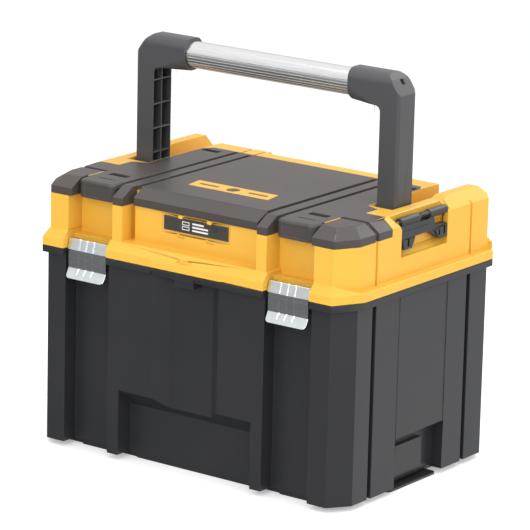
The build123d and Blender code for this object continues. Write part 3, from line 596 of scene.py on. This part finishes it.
def cutAt(x):
    bpy.ops.mesh.select_all(action="SELECT")
    bpy.ops.mesh.bisect(plane_co=(x * mm, 0, 0), plane_no=(1, 0, 0))


def near(a, b, slack=0.05):
    return abs(a - b) < slack


def addBlock(x0, x1, y0, y1, z0, z1):
    # Box added to the mesh being edited, sizes in mm
    bpy.ops.mesh.primitive_cube_add(size=1, location=(0, 0, 0))
    size = ((x1 - x0) * mm, (y1 - y0) * mm, (z1 - z0) * mm)
    bpy.ops.transform.resize(value=size, center_override=(0, 0, 0))
    shift((x0 + x1) / 2, (y0 + y1) / 2, (z0 + z1) / 2)


def copyPiece(piece, name, change):
    # Repeat with its own mesh, each vertex placed by change
    twin = bpy.data.objects.new(name, piece.data.copy())
    bpy.context.scene.collection.objects.link(twin)
    for vert in twin.data.vertices:
        vert.co = change(vert.co)
    return twin


def finishPiece(piece, finish, body, replaced=None):
    paint(piece, finish)
    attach(piece, body)
    if replaced:
        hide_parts(replaced)


# Front latches: one bent strip of plated sheet each

latchShape = {
    "path": [(-142.2, 247.2), (-143.4, 246.2), (-146.8, 234.6), (-146.2, 213.5), (-147.2, 211.4),
             (-149.4, 207.0), (-152.5, 202.4)],
    "headHalf": 28.5, "tailHalf": 27.0, "sheet": 1.2,
    "edge": 0.3, "edgeAngle": 50, "smooth": 14,
    "grooves": (-12, -2, 8), "grooveHalf": 1.35, "grooveDeep": 1.1,
    "lipRound": 5.2, "lipSteps": 8, "earDeep": 5.0, "earTaper": 2.0,
    "hook": (-17, 17, -145.4, -136.0, 221.6, 222.8), "hookTip": (-17, 17, -136.6, -135.6, 222.0, 223.6),
    "pinEar": (25.7, 26.9, -143.6, -135.0, 236.0, 246.8),
    "places": {"front_latch_left": -141.0, "front_latch_right": 139.0},
}


def latchStrip(look):
    path = look["path"]
    bpy.ops.mesh.primitive_plane_add(size=1, location=(0, 0, 0))
    strip = bpy.context.active_object
    openEdit(strip)
    bpy.ops.mesh.select_all(action="SELECT")
    bpy.ops.transform.resize(value=(2 * look["headHalf"] * mm, mm, 1), center_override=(0, 0, 0))
    pick(strip, "edges", lambda at: near(at.y, 0.5))
    shift(0, path[0][0] - 0.5, path[0][1])
    pick(strip, "edges", lambda at: near(at.y, -0.5))
    shift(0, path[1][0] + 0.5, path[1][1])
    for (y0, z0), (y1, z1) in zip(path[1:], path[2:]):
        step = (0, (y1 - y0) * mm, (z1 - z0) * mm)
        bpy.ops.mesh.extrude_edges_move(TRANSFORM_OT_translate={"value": step})
    for edge in (-look["tailHalf"], look["tailHalf"]):
        cutAt(edge)
    for groove in look["grooves"]:
        for side in (-look["grooveHalf"], 0, look["grooveHalf"]):
            cutAt(groove + side)
    bend = path[2][1]
    pick(strip, "faces", lambda at: abs(at.x) > look["tailHalf"] and at.z < bend)
    bpy.ops.mesh.delete(type="FACE")
    return strip


def latchGroovesAndLip(strip, look):
    path = look["path"]
    for groove in look["grooves"]:
        pick(strip, "verts", lambda at: near(at.x, groove) and at.z > path[4][1] - 0.1)
        shift(0, look["grooveDeep"], 0)
    tail = look["tailHalf"]
    pick(strip, "verts", lambda at: near(abs(at.x), tail) and near(at.z, path[-1][1]))
    bpy.ops.mesh.bevel(offset=look["lipRound"] * mm, segments=look["lipSteps"], affect="VERTICES")
    low, high = path[3][1], path[2][1]
    pick(strip, "edges", lambda at: near(abs(at.x), tail) and low < at.z < high)
    bpy.ops.mesh.extrude_edges_move(TRANSFORM_OT_translate={"value": (0, look["earDeep"] * mm, 0)})
    fold = path[3][0] + look["earDeep"] / 2
    pick(strip, "verts", lambda at: near(abs(at.x), tail) and near(at.z, low) and at.y > fold)
    shift(0, -look["earTaper"], look["earTaper"])


def closeLatch(strip, look):
    bpy.ops.mesh.select_all(action="SELECT")
    bpy.ops.mesh.normals_make_consistent(inside=False)
    front = bmesh.from_edit_mesh(strip.data)
    front.faces.ensure_lookup_table()
    widest = max(front.faces, key=lambda face: face.calc_area())
    if widest.normal.y > 0:
        bpy.ops.mesh.flip_normals()
    closeEdit()
    sheet = strip.modifiers.new("sheet", "SOLIDIFY")
    sheet.thickness = look["sheet"] * mm
    sheet.offset = -1
    sheet.use_even_offset = True
    applyAll(strip)
    openEdit(strip)
    addBlock(*look["hook"])
    addBlock(*look["hookTip"])
    x0, x1, y0, y1, z0, z1 = look["pinEar"]
    addBlock(x0, x1, y0, y1, z0, z1)
    addBlock(-x1, -x0, y0, y1, z0, z1)
    bpy.ops.mesh.select_all(action="SELECT")
    bpy.ops.mesh.normals_make_consistent(inside=False)
    closeEdit()
    softenEdges(strip, look["edge"], look["edgeAngle"], True)
    smoothPiece(strip, look["smooth"])


def makeLatches(look):
    strip = latchStrip(look)
    latchGroovesAndLip(strip, look)
    closeLatch(strip, look)
    for node, place in look["places"].items():
        twin = copyPiece(strip, pieceName(node), lambda co: (co.x + place * mm, co.y, co.z))
        finishPiece(twin, "zinc_plate", bodyOf[node], node)
    bpy.data.objects.remove(strip)


# Torsion springs of the side clips

springShape = {"wire": 0.6, "wireSides": 10, "smooth": 40,
               "radius": 3.5, "pitch": 2.35, "turns": 7, "steps": 24,
               "axisX": 206.6, "startY": 0.9, "axisZ": 307.0}


def makeSprings(look):
    bpy.ops.mesh.primitive_circle_add(vertices=look["wireSides"], radius=look["wire"] * mm,
                                      location=(0, 0, 0))
    coil = bpy.context.active_object
    openEdit(coil)
    bpy.ops.mesh.select_all(action="SELECT")
    shift(look["radius"], 0, 0)
    closeEdit()
    wind = coil.modifiers.new("wind", "SCREW")
    wind.axis = "Y"
    wind.screw_offset = look["pitch"] * mm
    wind.iterations = look["turns"]
    wind.steps = look["steps"]
    wind.render_steps = look["steps"]
    applyAll(coil)
    openEdit(coil)
    bpy.ops.mesh.select_all(action="SELECT")
    bpy.ops.mesh.fill_holes(sides=0)
    bpy.ops.mesh.select_all(action="SELECT")
    bpy.ops.mesh.normals_make_consistent(inside=False)
    shift(look["axisX"], look["startY"], look["axisZ"])
    closeEdit()
    across = 2 * look["axisX"] * mm
    leftCoil = copyPiece(coil, "clipSpringLeft", lambda co: (co.x - across, co.y, co.z))
    coil.name = "clipSpringRight"
    for piece in (coil, leftCoil):
        smoothPiece(piece, look["smooth"])
        finishPiece(piece, "spring_steel", "lid", "side_clip_springs")


# Print on the label card: a plain pictogram of stacked boxes beside three bars

printLook = {"depth": -130.74, "line": 0.9,
             "boxes": [(-19, -9, 279.0, 283.2), (-19, -9, 284.4, 288.6)],
             "bars": [(-5, 17, 279.0, 281.0), (-5, 17, 282.8, 284.8), (-5, 11, 286.6, 288.6)]}


def addFlat(look, x0, x1, z0, z1):
    # Upright rectangle facing the front, added to the mesh being edited
    bpy.ops.mesh.primitive_plane_add(size=1, location=(0, 0, 0))
    bpy.ops.transform.rotate(value=math.radians(90), orient_axis="X", center_override=(0, 0, 0))
    bpy.ops.transform.resize(value=((x1 - x0) * mm, 1, (z1 - z0) * mm), center_override=(0, 0, 0))
    shift((x0 + x1) / 2, look["depth"], (z0 + z1) / 2)


def makePrint(look):
    bpy.ops.mesh.primitive_plane_add(size=1, location=(0, 0, 0))
    sheet = bpy.context.active_object
    sheet.name = "labelPrint"
    openEdit(sheet)
    bpy.ops.mesh.select_all(action="SELECT")
    bpy.ops.mesh.delete(type="VERT")
    for box in look["boxes"]:
        addFlat(look, *box)
        bpy.ops.mesh.select_mode(type="FACE")
        bpy.ops.mesh.inset(thickness=look["line"] * mm)
        bpy.ops.mesh.delete(type="FACE")
        bpy.ops.mesh.select_mode(type="VERT")
    for bar in look["bars"]:
        addFlat(look, *bar)
    bpy.ops.mesh.select_all(action="SELECT")
    mesh = bmesh.from_edit_mesh(sheet.data)
    if sum(face.normal.y for face in mesh.faces) > 0:
        bpy.ops.mesh.flip_normals()
    closeEdit()
    finishPiece(sheet, "white_ink", "lid")


# Dark infill of the badge's generic bars and nut

badgeLook = {"height": 314.76, "nut": 8.7, "nutAt": (0, -63.5), "nutTurn": 30,
             "bar": (-13.6, 12.7, -65.7, -60.3), "barAt": (-34, 34)}


def makeBadgeInfill(look):
    bpy.ops.mesh.primitive_circle_add(vertices=6, radius=look["nut"] * mm, fill_type="NGON",
                                      location=(0, 0, 0))
    infill = bpy.context.active_object
    infill.name = "badgeInfill"
    openEdit(infill)
    bpy.ops.mesh.select_all(action="SELECT")
    bpy.ops.transform.rotate(value=math.radians(look["nutTurn"]), orient_axis="Z", center_override=(0, 0, 0))
    shift(look["nutAt"][0], look["nutAt"][1], look["height"])
    left, right, front, back = look["bar"]
    size = ((right - left) * mm, (back - front) * mm, 1)
    for middle in look["barAt"]:
        bpy.ops.mesh.primitive_plane_add(size=1, location=(0, 0, 0))
        bpy.ops.transform.resize(value=size, center_override=(0, 0, 0))
        shift(middle, (back + front) / 2, look["height"])
    closeEdit()
    finishPiece(infill, "black_plastic", "lid")


makeLatches(latchShape)
makeSprings(springShape)
makePrint(printLook)
makeBadgeInfill(badgeLook)
print("latches, springs and label print modelled")

replacedNodes = set(roundedParts) | set(latchShape["places"]) | {"side_clip_springs"}
for node, shape in frame["nodes"].items():
    if node not in replacedNodes:
        paint(shape, slotOf[node])


# Stage and light

stageLook = {"radius": 9.0, "sides": 96, "floor": (0.80, 0.80, 0.80), "rough": 0.7, "specular": 0.2,
             "glow": 0.34, "fadeFrom": 0.06, "fadeTo": 0.26}
worldLook = {"seen": 1.02, "light": 1.0,
             # brightness round the object, from straight down (0) over level (0.5) to straight up (1)
             "sky": [(0.30, 0.12), (0.50, 0.28), (0.60, 0.80), (0.85, 1.0)],
             # extra low light from the back right, which the side walls mirror
             "wash": [(0.55, 0.0), (0.95, 0.85)], "washFrom": (0.60, 0.80, 0.0)}
lamps = [
    # name, place, aim, size, watts
    ("overheadSoftbox", (0.3, -0.2, 2.6), (0, 0, 0.2), 2.4, 26),
    ("rightSoftbox", (2.6, -0.6, 1.0), (0, 0, 0.2), 1.8, 20),
    ("frontSoftbox", (0.6, -2.9, 1.5), (0, 0, 0.2), 1.8, 38),
    ("backSoftbox", (0.4, 2.8, 1.8), (0, 0, 0.3), 1.8, 22),
]


def addFloor(look):
    bpy.ops.mesh.primitive_circle_add(vertices=look["sides"], radius=look["radius"], fill_type="NGON",
                                      location=(0, 0, 0))
    floor = bpy.context.active_object
    floor.name = "studioFloor"
    material, tree, shader = newMaterial("paleFloor")
    coords = addNode(tree, "ShaderNodeTexCoord")
    mapping = addNode(tree, "ShaderNodeMapping")
    mapping.inputs["Scale"].default_value = (1 / look["radius"],) * 3
    tree.links.new(coords.outputs["Object"], mapping.inputs["Vector"])
    reach = addNode(tree, "ShaderNodeTexGradient", gradient_type="SPHERICAL")
    tree.links.new(mapping.outputs[0], reach.inputs["Vector"])
    fade = rampNode(tree, reach.outputs["Fac"], [(1 - look["fadeTo"], 0.0), (1 - look["fadeFrom"], 1.0)])
    shader.inputs["Base Color"].default_value = (*look["floor"], 1)
    shader.inputs["Roughness"].default_value = look["rough"]
    shader.inputs["Specular IOR Level"].default_value = look["specular"]
    shader.inputs["Emission Color"].default_value = (1, 1, 1, 1)
    shader.inputs["Emission Strength"].default_value = look["glow"]
    tree.links.new(fade, shader.inputs["Alpha"])
    floor.data.materials.append(material)
    floor.visible_glossy = False


def addWorld(look):
    world = bpy.data.worlds.new("whiteStudio")
    world.use_nodes = True
    tree = world.node_tree
    tree.nodes.clear()
    out = addNode(tree, "ShaderNodeOutputWorld")
    seen = addNode(tree, "ShaderNodeBackground")
    seen.inputs["Color"].default_value = (1, 1, 1, 1)
    seen.inputs["Strength"].default_value = look["seen"]
    light = addNode(tree, "ShaderNodeBackground")
    light.inputs["Strength"].default_value = look["light"]
    towards = addNode(tree, "ShaderNodeTexCoord").outputs["Generated"]
    split = addNode(tree, "ShaderNodeSeparateXYZ")
    tree.links.new(towards, split.inputs[0])
    height = mathNode(tree, "MULTIPLY_ADD", split.outputs["Z"], 0.5, 0.5)
    facing = addNode(tree, "ShaderNodeVectorMath", operation="DOT_PRODUCT")
    facing.inputs[1].default_value = look["washFrom"]
    tree.links.new(towards, facing.inputs[0])
    wash = rampNode(tree, facing.outputs["Value"], look["wash"])
    total = mixColour(tree, 1.0, rampNode(tree, height, look["sky"]), wash, "LIGHTEN")
    tree.links.new(total, light.inputs["Color"])
    rays = addNode(tree, "ShaderNodeLightPath")
    mix = addNode(tree, "ShaderNodeMixShader")
    tree.links.new(rays.outputs["Is Camera Ray"], mix.inputs[0])
    tree.links.new(light.outputs[0], mix.inputs[1])
    tree.links.new(seen.outputs[0], mix.inputs[2])
    tree.links.new(mix.outputs[0], out.inputs["Surface"])
    bpy.context.scene.world = world


def addLamp(name, place, aim, size, watts):
    data = bpy.data.lights.new(name, "AREA")
    data.size = size
    data.energy = watts
    lamp = bpy.data.objects.new(name, data)
    direction = Vector(aim) - Vector(place)
    lamp.matrix_world = Matrix.Translation(place) @ direction.to_track_quat("-Z", "Y").to_matrix().to_4x4()
    bpy.context.scene.collection.objects.link(lamp)


addFloor(stageLook)
addWorld(worldLook)
for lamp in lamps:
    addLamp(*lamp)
print("stage and lights ready")
